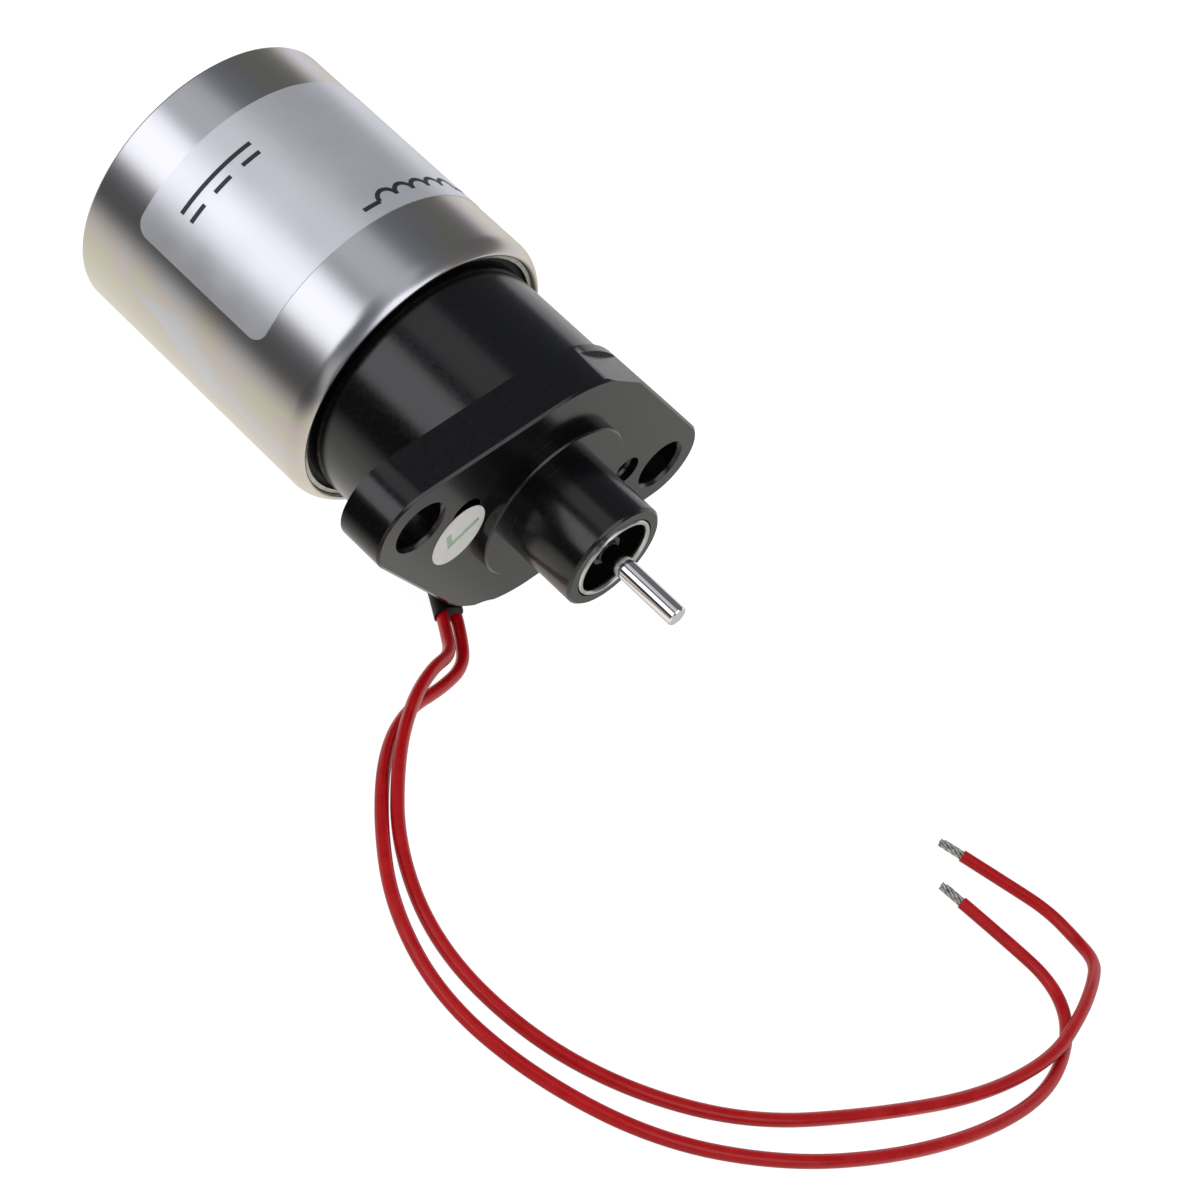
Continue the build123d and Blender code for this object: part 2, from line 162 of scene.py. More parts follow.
def mottle(finish, scale, colours, roughness, bump=0.0, stretch=(1, 1, 1)):
    """Let one noise vary the colour and the roughness between two values, and raise a fine grain."""
    shader = finish.node_tree.nodes["Principled BSDF"]
    noise = add_node(finish, "TexNoise", {"Scale": scale, "Detail": 4.0, "Roughness": 0.6})
    connect(finish, place_on_object(finish, stretch), noise.inputs["Vector"])
    ramp = add_node(finish, "ValToRGB")
    ramp.color_ramp.elements[0].position = noise_low
    ramp.color_ramp.elements[1].position = noise_high
    ramp.color_ramp.elements[0].color = (*colours[0], 1)
    ramp.color_ramp.elements[1].color = (*colours[1], 1)
    connect(finish, noise.outputs["Fac"], ramp.inputs["Fac"])
    connect(finish, ramp.outputs["Color"], shader.inputs["Base Color"])
    spread = add_node(
        finish,
        "MapRange",
        {"From Min": noise_low, "From Max": noise_high, "To Min": roughness[0], "To Max": roughness[1]},
    )
    connect(finish, noise.outputs["Fac"], spread.inputs["Value"])
    connect(finish, spread.outputs["Result"], shader.inputs["Roughness"])
    if bump:
        grain = add_node(finish, "Bump", {"Strength": bump, "Distance": grain_depth})
        connect(finish, noise.outputs["Fac"], grain.inputs["Height"])
        connect(finish, grain.outputs["Normal"], shader.inputs["Normal"])


red_pvc = new_finish("red_pvc", (0.42, 0.003, 0.005), 0.28)
red_pvc.node_tree.nodes["Principled BSDF"].inputs["IOR"].default_value = 1.38
mottle(red_pvc, 260, ((0.38, 0.002, 0.004), (0.47, 0.004, 0.007)), (0.22, 0.34), bump=0.08)


def lay_lead(name, route):
    """Lay one lead along its route as a round smooth line."""
    line = bpy.data.curves.new(name, "CURVE")
    line.dimensions = "3D"
    line.bevel_depth = lead_diameter / 2
    line.bevel_resolution = 6
    line.resolution_u = 10
    line.use_fill_caps = True
    spline = line.splines.new("NURBS")
    spline.points.add(len(route) - 1)
    for point, place in zip(spline.points, route):
        point.co = (*place, 1)
    spline.order_u = 3
    spline.use_endpoint_u = True
    line.materials.append(red_pvc)
    lead = bpy.data.objects.new(name, line)
    bpy.context.scene.collection.objects.link(lead)
    return lead


# Bare ends: the last 4 mm of each lead, stripped, twisted and dipped in solder.
# Six strands lie round a seventh, and each ends at its own length.
tinned_copper = new_finish("tinned_copper", (0.62, 0.61, 0.58), 0.35, metallic=1.0)
mottle(tinned_copper, 1500, ((0.42, 0.41, 0.39), (0.74, 0.73, 0.70)), (0.25, 0.5), bump=0.3)
strand_radius = 0.25 * mm
bare_length = 4.2 * mm
strand_lay = 200
lay_steps = 12
tip_lengths = (1.0, 0.86, 0.97, 0.9, 0.99, 0.84, 0.94)
outer_strands = len(tip_lengths) - 1


def add_piece(name, shape, finish, body="housing"):
    """Turn a finished shape into a piece with that finish, riding on that body."""
    mesh = bpy.data.meshes.new(name)
    shape.to_mesh(mesh)
    shape.free()
    mesh.materials.append(finish)
    piece = bpy.data.objects.new(name, mesh)
    bpy.context.scene.collection.objects.link(piece)
    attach(piece, body)
    return piece


def shade(piece, sharp_angle=35):
    """Shade a piece smooth, except over edges sharper than this angle."""
    piece.data.shade_smooth()
    piece.data.set_sharp_from_angle(angle=radians(sharp_angle))


def twist_strands(name, route):
    """Screw seven strands of a bare end about the last run of its lead."""
    end = Vector(route[-1])
    along = (end - Vector(route[-2])).normalized()
    shape = bmesh.new()
    for index, share in enumerate(tip_lengths):
        centre = Vector((0, 0, 0))
        if index:
            turn_round = index * 2 * pi / outer_strands
            centre = 2 * strand_radius * Vector((cos(turn_round), sin(turn_round), 0))
        ring = bmesh.ops.create_circle(
            shape, cap_ends=True, segments=10, radius=strand_radius, matrix=Matrix.Translation(centre)
        )["verts"]
        faces = [face for face in shape.faces if all(vert in ring for vert in face.verts)]
        edges = {edge for face in faces for edge in face.edges}
        bmesh.ops.spin(
            shape,
            geom=list(ring) + list(edges) + faces,
            cent=(0, 0, 0),
            axis=(0, 0, 1),
            dvec=(0, 0, share * bare_length / lay_steps),
            angle=radians(strand_lay * share),
            steps=lay_steps,
        )
    bmesh.ops.recalc_face_normals(shape, faces=shape.faces)
    towards_end = along.to_track_quat("Z", "Y").to_matrix().to_4x4()
    bmesh.ops.transform(shape, matrix=towards_end, verts=shape.verts)
    bmesh.ops.translate(shape, vec=end, verts=shape.verts)
    strands = add_piece(name, shape, tinned_copper)
    shade(strands)
    return strands


for lead_name, route, lead_length in (
    ("lead_a", lead_a_route, 246.8 * mm),
    ("lead_b", lead_b_route, 243.8 * mm),
):
    strands = twist_strands(lead_name + "_strands", route)
    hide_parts(lead_name + "_end")
    lead = lay_lead("red_" + lead_name, route)
    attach(lead, "housing")
    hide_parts(lead_name)


# Lead sleeve: black heat-shrunk tube, flattened over both leads where they leave the body.
# It comes down through the slot in the body's underside and ends just past the flange, cut
# off at a slant.
shrink_sleeve = new_finish("shrink_sleeve", (0.005, 0.005, 0.006), 0.4)
shrink_sleeve.node_tree.nodes["Principled BSDF"].inputs["IOR"].default_value = 1.22
mottle(shrink_sleeve, 700, ((0.003, 0.003, 0.004), (0.008, 0.008, 0.009)), (0.35, 0.5), bump=0.1)
weld_reach = 0.002 * mm
flat_angle = radians(0.4)


def weld_copy(node):
    """Copy a solid's skin as one welded shape, with the triangles of each flat face joined up."""
    shape = bmesh.new()
    shape.from_mesh(nodes[node].data)
    bmesh.ops.remove_doubles(shape, verts=shape.verts, dist=weld_reach)
    bmesh.ops.dissolve_limit(shape, angle_limit=flat_angle, verts=shape.verts, edges=shape.edges)
    return shape


sleeve_end = Vector((-0.8, -6.6, -23.4)) * mm
sleeve_end_reach = 0.05 * mm
sleeve_run = Vector((0.8, -0.6, 0))
sleeve_side = Vector((0.6, 0.8, 0))
end_slope = 0.5
end_shortening = 0.3 * mm
shape = weld_copy("lead_sleeve")
for vert in shape.verts:
    reach = vert.co - sleeve_end
    if abs(reach.dot(sleeve_run)) < sleeve_end_reach:
        vert.co -= sleeve_run * (end_shortening + end_slope * reach.dot(sleeve_side))
sleeve = add_piece("shrunk_lead_sleeve", shape, shrink_sleeve)
shade(sleeve, 50)
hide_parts("lead_sleeve")


# Potting: black epoxy, poured round the sleeve until it fills the slot in the body.
# Its shape is carried over from the solid.
potting = new_finish("black_epoxy", (0.02, 0.02, 0.022), 0.35)
mottle(potting, 400, ((0.014, 0.014, 0.016), (0.03, 0.03, 0.033)), (0.25, 0.5), bump=0.2)


def finish_node(node, finish):
    """Give a carried-over solid its own finish."""
    nodes[node].data.materials.clear()
    nodes[node].data.materials.append(finish)


finish_node("lead_potting", potting)


# Can: steel drawn to a cup, turned in to a rounded lip at its open end and zinc plated. The
# clear passivate leaves faint yellow, green and pink clouds on it. They fade on the upper side
# towards the sticker, where the lights fall, and that fade is a painted cool highlight.
can_low, can_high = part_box("can")
can_radius = can_high.z
can_rear = can_low.x
can_front = can_high.x
can_wall = 1.5 * mm
rear_edge_radius = 0.5 * mm
shoulder_radius = 4.0 * mm
lip_radius = can_radius - 1.9 * mm
can_steps = 256
join_reach = 0.0005 * mm
sliver_length = 0.0002 * mm


def arc(centre, radius, start, end, steps):
    """Points of an arc about a centre in the half plane of (x, radius), angles in degrees from +X."""
    angles = [radians(start + (end - start) * step / steps) for step in range(steps + 1)]
    return [(centre[0] + radius * cos(angle), centre[1] + radius * sin(angle)) for angle in angles]


def turn_on_lathe(outline, steps, closed=True):
    """Spin an outline of (x, radius) points once round the X axis."""
    shape = bmesh.new()
    verts = [shape.verts.new((x, 0, radius)) for x, radius in outline]
    edges = [shape.edges.new(pair) for pair in zip(verts, verts[1:])]
    if closed:
        edges.append(shape.edges.new((verts[-1], verts[0])))
    bmesh.ops.spin(
        shape,
        geom=verts + edges,
        cent=(0, 0, 0),
        axis=(1, 0, 0),
        dvec=(0, 0, 0),
        angle=2 * pi,
        steps=steps,
        use_merge=True,
        use_duplicate=False,
    )
    bmesh.ops.remove_doubles(shape, verts=shape.verts, dist=join_reach)
    bmesh.ops.dissolve_degenerate(shape, edges=shape.edges, dist=sliver_length)
    bmesh.ops.recalc_face_normals(shape, faces=shape.faces)
    return shape


lip_round = 0.35 * mm
shoulder_drop = lip_radius - (can_radius - shoulder_radius)
shoulder_start = can_front - sqrt(shoulder_radius**2 - shoulder_drop**2)
shoulder_end = degrees(asin((shoulder_drop + lip_round) / (shoulder_radius - lip_round)))
lip_centre = (
    shoulder_start + (shoulder_radius - lip_round) * cos(radians(shoulder_end)),
    lip_radius + lip_round,
)
inner_shoulder_radius = shoulder_radius - can_wall
inner_lip = shoulder_start + sqrt(inner_shoulder_radius**2 - shoulder_drop**2)
inner_end = degrees(atan2(shoulder_drop, inner_lip - shoulder_start))
last_straight_ring = shoulder_start - 10 * mm
can_outline = (
    [(can_rear, 0)]
    + arc((can_rear + rear_edge_radius, can_radius - rear_edge_radius), rear_edge_radius, 180, 90, 6)
    + [(last_straight_ring, can_radius)]
    + arc((shoulder_start, can_radius - shoulder_radius), shoulder_radius, 90, shoulder_end, 14)
    + arc(lip_centre, lip_round, shoulder_end, -90, 8)[1:]
    + arc((shoulder_start, can_radius - shoulder_radius), inner_shoulder_radius, inner_end, 90, 8)
    + [(can_rear + can_wall, can_radius - can_wall), (can_rear + can_wall, 0)]
)
zinc = new_finish("bright_zinc", (0.62, 0.62, 0.64), 0.27, metallic=1.0)
zinc_shader = zinc.node_tree.nodes["Principled BSDF"]
clouds = add_node(zinc, "TexNoise", {"Scale": 55, "Detail": 3.0, "Roughness": 0.55, "Distortion": 0.6})
connect(zinc, place_on_object(zinc, (0.6, 1, 1)), clouds.inputs["Vector"])
# Painted highlight: the clouds fade towards the side and top lights, so the plating stays neutral where
# their reflection falls and it reads cool white.
highlight_side = Vector((0, -0.84, 0.54))
fade_start = 0.62 * can_radius
fade_end = 0.95 * can_radius
towards_highlight_side = add_node(zinc, "VectorMath", {1: highlight_side}, operation="DOT_PRODUCT")
connect(zinc, place_on_object(zinc), towards_highlight_side.inputs[0])
clouds_faded_under_highlight = add_node(
    zinc, "MapRange", {"From Min": fade_start, "From Max": fade_end, "To Min": 1.0, "To Max": 0.5}
)
connect(zinc, towards_highlight_side.outputs["Value"], clouds_faded_under_highlight.inputs["Value"])
tint = add_node(zinc, "Math", operation="MULTIPLY")
connect(zinc, clouds.outputs["Fac"], tint.inputs[0])
connect(zinc, clouds_faded_under_highlight.outputs["Result"], tint.inputs[1])
rainbow = add_node(zinc, "ValToRGB")
rainbow_stops = (
    (0.32, (0.65, 0.66, 0.69)),
    (0.42, (0.67, 0.61, 0.585)),
    (0.50, (0.66, 0.64, 0.52)),
    (0.58, (0.68, 0.59, 0.575)),
    (0.68, (0.61, 0.65, 0.53)),
)
while len(rainbow.color_ramp.elements) < len(rainbow_stops):
    rainbow.color_ramp.elements.new(0.5)
for element, (position, colour) in zip(rainbow.color_ramp.elements, rainbow_stops):
    element.position = position
    element.color = (*colour, 1)
connect(zinc, tint.outputs["Value"], rainbow.inputs["Fac"])
connect(zinc, rainbow.outputs["Color"], zinc_shader.inputs["Base Color"])
cloud_roughness = add_node(zinc, "MapRange", {"To Min": 0.27, "To Max": 0.31})
connect(zinc, clouds.outputs["Fac"], cloud_roughness.inputs["Value"])
connect(zinc, cloud_roughness.outputs["Result"], zinc_shader.inputs["Roughness"])

can = add_piece("drawn_can", turn_on_lathe(can_outline, can_steps, closed=False), zinc)
shade(can, 40)
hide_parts("can")


# Label: silver foil stuck round the upper half of the can, with rounded corners. It is
# printed with plain signs only, for direct current and for a coil.
label_radius = can_radius + 0.08 * mm
label_middle = can_radius + 0.05 * mm
print_radius = can_radius + 0.1 * mm
ink_depth = 0.03 * mm
ink_join_reach = 0.001 * mm
foil = new_finish("silver_foil", (0.79, 0.80, 0.85), 0.38, metallic=0.65)
mottle(foil, 120, ((0.77, 0.79, 0.84), (0.81, 0.83, 0.88)), (0.34, 0.42), bump=0.03)
black_print = new_finish("black_print", (0.02, 0.018, 0.03), 0.5)
mottle(black_print, 900, ((0.016, 0.014, 0.024), (0.03, 0.027, 0.04)), (0.42, 0.6), bump=0.05)

shape = weld_copy("label")
for vert in shape.verts:
    reach = hypot(vert.co.y, vert.co.z)
    if reach > label_middle:
        vert.co.y *= label_radius / reach
        vert.co.z *= label_radius / reach
label = add_piece("foil_label", shape, foil)
shade(label, 40)
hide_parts("label")


def stroke(shape, start, end, width, steps=1):
    """Lay a straight stroke of print flat, from one (x, around) point to the other, both in metres."""
    run = Vector(end) - Vector(start)
    across = Vector((-run.y, run.x)).normalized() * width / 2
    corners = [Vector(start) + across, Vector(start) - across]
    verts = [shape.verts.new((corner.x, corner.y, 0)) for corner in corners]
    line = shape.edges.new(verts)
    for _ in range(steps):
        moved = bmesh.ops.extrude_edge_only(shape, edges=[line])["geom"]
        verts = [item for item in moved if isinstance(item, bmesh.types.BMVert)]
        line = shape.edges.get(verts)
        bmesh.ops.translate(shape, vec=(run.x / steps, run.y / steps, 0), verts=verts)


def hump(shape, centre, radius, width, steps=14):
    """Lay half a ring of print flat about an (x, around) centre, bulging towards -X."""
    x, around = centre
    sides = (around + radius - width / 2, around + radius + width / 2)
    verts = [shape.verts.new((x, side, 0)) for side in sides]
    line = shape.edges.new(verts)
    bmesh.ops.spin(
        shape,
        geom=verts + [line],
        cent=(x, around, 0),
        axis=(0, 0, 1),
        dvec=(0, 0, 0),
        angle=pi,
        steps=steps,
    )


def bend_round_can(shape):
    """Bend flat print round the can, and give it the thickness of a film of ink."""
    bmesh.ops.remove_doubles(shape, verts=shape.verts, dist=ink_join_reach)
    for vert in shape.verts:
        angle = vert.co.y / print_radius
        vert.co = Vector((vert.co.x, print_radius * sin(angle), print_radius * cos(angle)))
    bmesh.ops.recalc_face_normals(shape, faces=shape.faces)
    for face in shape.faces:
        outward = Vector((0, face.calc_center_median().y, face.calc_center_median().z))
        if face.normal.dot(outward) < 0:
            face.normal_flip()
    bmesh.ops.solidify(shape, geom=shape.faces, thickness=ink_depth)


ink_width = 0.75 * mm
shape = bmesh.new()
current_start = radians(-74) * print_radius
current_end = radians(-40) * print_radius
current_x = -63.6 * mm
stroke(shape, (current_x, current_start), (current_x, current_end), ink_width, steps=20)
dash_x = current_x + 2.2 * mm
dash_length = 3.4 * mm
dash_count = 3
for dash in range(dash_count):
    dash_start = current_start + dash * (current_end - current_start - dash_length) / (dash_count - 1)
    stroke(shape, (dash_x, dash_start), (dash_x, dash_start + dash_length), ink_width, steps=5)
bend_round_can(shape)
current_sign = add_piece("printed_current_sign", shape, black_print)
shade(current_sign)

shape = bmesh.new()
coil_x = -42.9 * mm
hump_radius = 1.75 * mm
hump_count = 5
coil_start = radians(-30) * print_radius
wire_length = 3.2 * mm
stroke(shape, (coil_x, coil_start), (coil_x, coil_start + wire_length), ink_width, steps=4)
for count in range(hump_count):
    hump_middle = coil_start + wire_length + (2 * count + 1) * hump_radius
    hump(shape, (coil_x, hump_middle), hump_radius, ink_width)
coil_end = coil_start + wire_length + 2 * hump_count * hump_radius
stroke(shape, (coil_x, coil_end), (coil_x, coil_end + wire_length), ink_width, steps=4)
bend_round_can(shape)
coil_sign = add_piece("printed_coil_sign", shape, black_print)
shade(coil_sign)


# Body: one turned and milled piece of aluminium with its barrel, two-bolt flange, pilot and
# nose, black anodised to a satin that mirrors the lights faintly.
anodised = new_finish("black_anodised", (0.004, 0.004, 0.0045), 0.3)
anodised.node_tree.nodes["Principled BSDF"].inputs["IOR"].default_value = 1.58
mottle(anodised, 1400, ((0.0015, 0.0015, 0.002), (0.004, 0.004, 0.005)), (0.17, 0.25), bump=0.05)
broken_edge = 0.1 * mm


def soften_edges(shape, width, least_angle=25, segments=2):
    """Round every edge that turns by more than this angle."""
    seams = [edge for edge in shape.edges if edge.is_manifold]
    hard = [edge for edge in seams if edge.calc_face_angle(0) > radians(least_angle)]
    bmesh.ops.bevel(
        shape,
        geom=hard,
        offset=width,
        offset_type="OFFSET",
        segments=segments,
        profile=0.5,
        affect="EDGES",
        clamp_overlap=True,
        material=-1,
    )


def keep_faces_flat(piece):
    """Weigh the shading by face size, so that a large flat face stays flat up to its edges."""
    weighted = piece.modifiers.new("flat_faces", "WEIGHTED_NORMAL")
    weighted.keep_sharp = True


shape = weld_copy("body")
soften_edges(shape, broken_edge)
body = add_piece("anodised_body", shape, anodised)
shade(body, 38)
keep_faces_flat(body)
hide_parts("body")


# Port threads: the body's two ports are tapped, here with a ridge that winds down each bore.
# Its root reaches a little into the wall.
port_radius = 2.75 * mm
port_offset = 20.0 * mm
port_height = 0.6 * mm
thread_pitch = 1.0 * mm
thread_depth = 0.35 * mm
root_radius = port_radius + 0.05 * mm
thread_start = -0.5 * mm
thread_turns = 5
thread_steps = 32
shape = bmesh.new()
for side in (-1, 1):
    port_centre = Vector((0, side * port_offset, port_height))
    ridge = [
        (thread_start, root_radius),
        (thread_start - thread_pitch / 2, port_radius - thread_depth),
        (thread_start - thread_pitch, root_radius),
    ]
    verts = [shape.verts.new(port_centre + Vector((x, 0, reach))) for x, reach in ridge]
    cut = shape.faces.new(verts)
    bmesh.ops.spin(
        shape,
        geom=verts + list(cut.edges) + [cut],
        cent=port_centre,
        axis=(1, 0, 0),
        dvec=(-thread_pitch / thread_steps, 0, 0),
        angle=2 * pi * thread_turns,
        steps=thread_turns * thread_steps,
    )
bmesh.ops.recalc_face_normals(shape, faces=shape.faces)
threads = add_piece("port_threads", shape, anodised)
shade(threads, 30)


# Packing and its ring: a rubber ring closes the gap between the can's lip and the barrel,
# held in by a thin plated ring.
packing_rubber = new_finish("packing_rubber", (0.02, 0.02, 0.02), 0.7)
mottle(packing_rubber, 800, ((0.012, 0.012, 0.012), (0.03, 0.03, 0.03)), (0.6, 0.8), bump=0.3)
plated_ring = new_finish("plated_ring", (0.45, 0.45, 0.40), 0.35, metallic=1.0)
mottle(plated_ring, 600, ((0.35, 0.35, 0.30), (0.70, 0.70, 0.62)), (0.25, 0.45), bump=0.2)
finish_node("body_packing", packing_rubber)
finish_node("packing_ring", plated_ring)


# Nose seal: a rubber lip bonded in a bright steel case that is pressed into the nose. The rubber
# lines the case inside, so that only the case's rolled front ring is bare.
case_low, case_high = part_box("seal_case")
case_wall = 0.6 * mm
case_inner_radius = case_high.z - case_wall
ring_corner = 0.2 * mm
ring_width = 0.8 * mm
ring_depth = 0.8 * mm
ring_outer_radius = case_high.z - ring_corner
ring_inner_radius = ring_outer_radius - ring_width
rubber_end = case_high.x - ring_depth
rubber_blend = 0.1 * mm
seal_steps = 120
lip_edge = 0.12 * mm
bright_ring = new_finish("bright_ring", (0.62, 0.62, 0.60), 0.25, metallic=1.0)
mottle(bright_ring, 900, ((0.55, 0.55, 0.53), (0.68, 0.68, 0.66)), (0.18, 0.3), bump=0.04)
ring_shader = bright_ring.node_tree.nodes["Principled BSDF"]
steel_colour = ring_shader.inputs["Base Color"].links[0].from_socket
along_case = add_node(bright_ring, "SeparateXYZ")
connect(bright_ring, place_on_object(bright_ring), along_case.inputs["Vector"])
bare_steel = add_node(
    bright_ring, "MapRange", {"From Min": rubber_end - rubber_blend, "From Max": rubber_end}
)
connect(bright_ring, along_case.outputs["X"], bare_steel.inputs["Value"])
lining = add_node(bright_ring, "MixRGB", {"Color1": (0.004, 0.004, 0.004, 1)})
connect(bright_ring, bare_steel.outputs["Result"], lining.inputs["Fac"])
connect(bright_ring, steel_colour, lining.inputs["Color2"])
connect(bright_ring, lining.outputs["Color"], ring_shader.inputs["Base Color"])
connect(bright_ring, bare_steel.outputs["Result"], ring_shader.inputs["Metallic"])
seal_rubber = new_finish("seal_rubber", (0.005, 0.005, 0.005), 0.3)
mottle(seal_rubber, 700, ((0.003, 0.003, 0.003), (0.007, 0.007, 0.007)), (0.26, 0.36))
shape = turn_on_lathe(
    [
        (case_low.x, case_high.z),
        (rubber_end, case_high.z),
        (rubber_end + ring_corner, ring_outer_radius),
        (case_high.x - ring_corner, ring_outer_radius),
        (case_high.x, ring_outer_radius - ring_corner),
        (case_high.x, ring_inner_radius + ring_corner),
        (case_high.x - ring_corner, ring_inner_radius),
        (rubber_end + ring_corner, ring_inner_radius),
        (rubber_end, case_inner_radius),
        (case_low.x, case_inner_radius),
    ],
    seal_steps,
)
seal_case = add_piece("seal_case_ring", shape, bright_ring)
shade(seal_case, 45)
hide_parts("seal_case")
shape = weld_copy("seal_lip")
soften_edges(shape, lip_edge)
seal_lip = add_piece("seal_rubber_lip", shape, seal_rubber)
shade(seal_lip, 45)
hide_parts("seal_lip")


# Push pin: hard chromed steel pin, polished, with a small chamfer at its flat end. It is
# pressed into the plunger and slides in the nose's bronze bush.
pin_low, pin_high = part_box("push_pin")
pin_radius = pin_high.z
pin_chamfer = 0.2 * mm
pin_steps = 72
polished = new_finish("polished_chrome", (0.86, 0.86, 0.88), 0.08, metallic=1.0)
mottle(polished, 300, ((0.85, 0.85, 0.87), (0.88, 0.88, 0.90)), (0.07, 0.085))
shape = turn_on_lathe(
    [
        (pin_low.x, 0),
        (pin_low.x, pin_radius - pin_chamfer),
        (pin_low.x + pin_chamfer, pin_radius),
        (pin_high.x - pin_chamfer, pin_radius),
        (pin_high.x, pin_radius - pin_chamfer),
        (pin_high.x, 0),
    ],
    pin_steps,
    closed=False,
)
pin = add_piece("chromed_push_pin", shape, polished, body="plunger_and_pin")
shade(pin, 30)
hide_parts("push_pin")


# Inspection sticker: a white paper oval stuck on the flange, over the edge of one port.
# It is printed with a pale green tick.
sticker_centre = Vector((0, -18.8 * mm, -3.8 * mm))
sticker_half_width = 4.8 * mm
sticker_half_height = 5.6 * mm
paper_thickness = 0.08 * mm
paper = new_finish("white_paper", (0.72, 0.72, 0.70), 0.55)
mottle(paper, 500, ((0.68, 0.68, 0.66), (0.76, 0.76, 0.74)), (0.5, 0.62), bump=0.1)
green_ink = new_finish("pale_green_ink", (0.33, 0.47, 0.33), 0.55)
mottle(green_ink, 900, ((0.28, 0.43, 0.28), (0.42, 0.55, 0.42)), (0.5, 0.62), bump=0.05)
shape = bmesh.new()
bmesh.ops.create_circle(shape, cap_ends=True, segments=64, radius=1)
bmesh.ops.scale(shape, vec=(sticker_half_height, sticker_half_width, 1), verts=shape.verts)
raised = bmesh.ops.extrude_face_region(shape, geom=shape.faces[:])["geom"]
top = [item for item in raised if isinstance(item, bmesh.types.BMVert)]
bmesh.ops.translate(shape, vec=(0, 0, paper_thickness), verts=top)
bmesh.ops.recalc_face_normals(shape, faces=shape.faces)
face_forward = Matrix(((0, 0, 1), (0, 1, 0), (-1, 0, 0))).to_4x4()
place_on_flange = Matrix.Translation(sticker_centre) @ face_forward
bmesh.ops.transform(shape, matrix=place_on_flange, verts=shape.verts)
sticker = add_piece("paper_sticker", shape, paper)
shade(sticker, 40)
tick_outline = ((-3.0, 0.2), (-2.3, 0.8), (-0.8, -1.1), (2.5, 3.0), (3.2, 2.4), (-0.8, -2.6))
ink_height = paper_thickness + 0.01 * mm
shape = bmesh.new()
shape.faces.new([shape.verts.new((-up * mm, across * mm, ink_height)) for across, up in tick_outline])
bmesh.ops.transform(shape, matrix=place_on_flange, verts=shape.verts)
for face in shape.faces:
    if face.normal.x < 0:
        face.normal_flip()
tick = add_piece("sticker_tick", shape, green_ink)


# Pieces inside: iron poles, core and plunger, a copper coil on its nylon bobbin, brass tube and
# shim, plated stop washer, rubber bumper and bronze bush. They are closed in, so they keep the
# solids' own shapes.
pole_iron = new_finish("plated_iron", (0.45, 0.45, 0.45), 0.35, metallic=1.0)
mottle(pole_iron, 500, ((0.36, 0.36, 0.36), (0.55, 0.55, 0.54)), (0.3, 0.45), bump=0.15)
plunger_steel = new_finish("ground_steel", (0.6, 0.6, 0.6), 0.25, metallic=1.0)
mottle(
    plunger_steel, 700, ((0.5, 0.5, 0.5), (0.68, 0.68, 0.67)), (0.2, 0.32), bump=0.1, stretch=(6, 1, 1)
)
nylon = new_finish("natural_nylon", (0.68, 0.64, 0.52), 0.45)
mottle(nylon, 200, ((0.62, 0.58, 0.46), (0.74, 0.70, 0.58)), (0.4, 0.52), bump=0.1)
copper = new_finish("enamelled_copper", (0.5, 0.17, 0.06), 0.3, metallic=0.9)
mottle(
    copper, 1200, ((0.42, 0.13, 0.04), (0.58, 0.22, 0.09)), (0.25, 0.4), bump=0.3, stretch=(4, 1, 1)
)
tape = new_finish("coil_tape", (0.72, 0.52, 0.08), 0.35)
mottle(tape, 300, ((0.66, 0.47, 0.06), (0.78, 0.58, 0.12)), (0.3, 0.42), bump=0.1)
brass = new_finish("plain_brass", (0.72, 0.52, 0.22), 0.3, metallic=1.0)
mottle(brass, 400, ((0.62, 0.44, 0.18), (0.78, 0.58, 0.27)), (0.25, 0.38), bump=0.1)
bronze = new_finish("sintered_bronze", (0.45, 0.28, 0.14), 0.5, metallic=1.0)
mottle(bronze, 2500, ((0.28, 0.17, 0.08), (0.52, 0.33, 0.17)), (0.4, 0.6), bump=0.4)
for node, finish in (
    ("front_pole", pole_iron),
    ("rear_pole", pole_iron),
    ("fixed_core", pole_iron),
    ("plunger", plunger_steel),
    ("stop_washer", plated_ring),
    ("stop_bumper", seal_rubber),
    ("bobbin", nylon),
    ("winding", copper),
    ("winding_tape", tape),
    ("guide_tube", brass),
    ("residual_shim", brass),
    ("nose_bush", bronze),
    ("lead_splices", tinned_copper),
):
    finish_node(node, finish)


# Return spring: steel wire wound at one even pitch, held between the fixed core and the plunger.
# It shortens by the plunger's stroke when the pin is pushed in; here it keeps one length.
spring_low, spring_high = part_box("return_spring")
wire_radius = 0.4 * mm
coil_radius = spring_high.z - wire_radius
spring_turns = 9
steps_per_turn = 24
spring_length = spring_high.x - spring_low.x
spring_wire = new_finish("spring_wire", (0.32, 0.31, 0.30), 0.35, metallic=1.0)
mottle(spring_wire, 800, ((0.24, 0.23, 0.22), (0.40, 0.39, 0.38)), (0.3, 0.45), bump=0.1)
shape = bmesh.new()
upright = Matrix.Rotation(pi / 2, 4, "Y") @ Matrix.Rotation(pi / 2, 4, "X")
wire = bmesh.ops.create_circle(shape, cap_ends=True, segments=12, radius=wire_radius, matrix=upright)
bmesh.ops.translate(shape, vec=(spring_low.x + wire_radius, 0, coil_radius), verts=wire["verts"])
bmesh.ops.spin(
    shape,
    geom=shape.verts[:] + shape.edges[:] + shape.faces[:],
    cent=(0, 0, 0),
    axis=(1, 0, 0),
    dvec=((spring_length - 2 * wire_radius) / (spring_turns * steps_per_turn), 0, 0),
    angle=2 * pi * spring_turns,
    steps=spring_turns * steps_per_turn,
)
bmesh.ops.recalc_face_normals(shape, faces=shape.faces)
spring = add_piece("coiled_return_spring", shape, spring_wire)
shade(spring, 40)
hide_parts("return_spring")
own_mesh(spring)


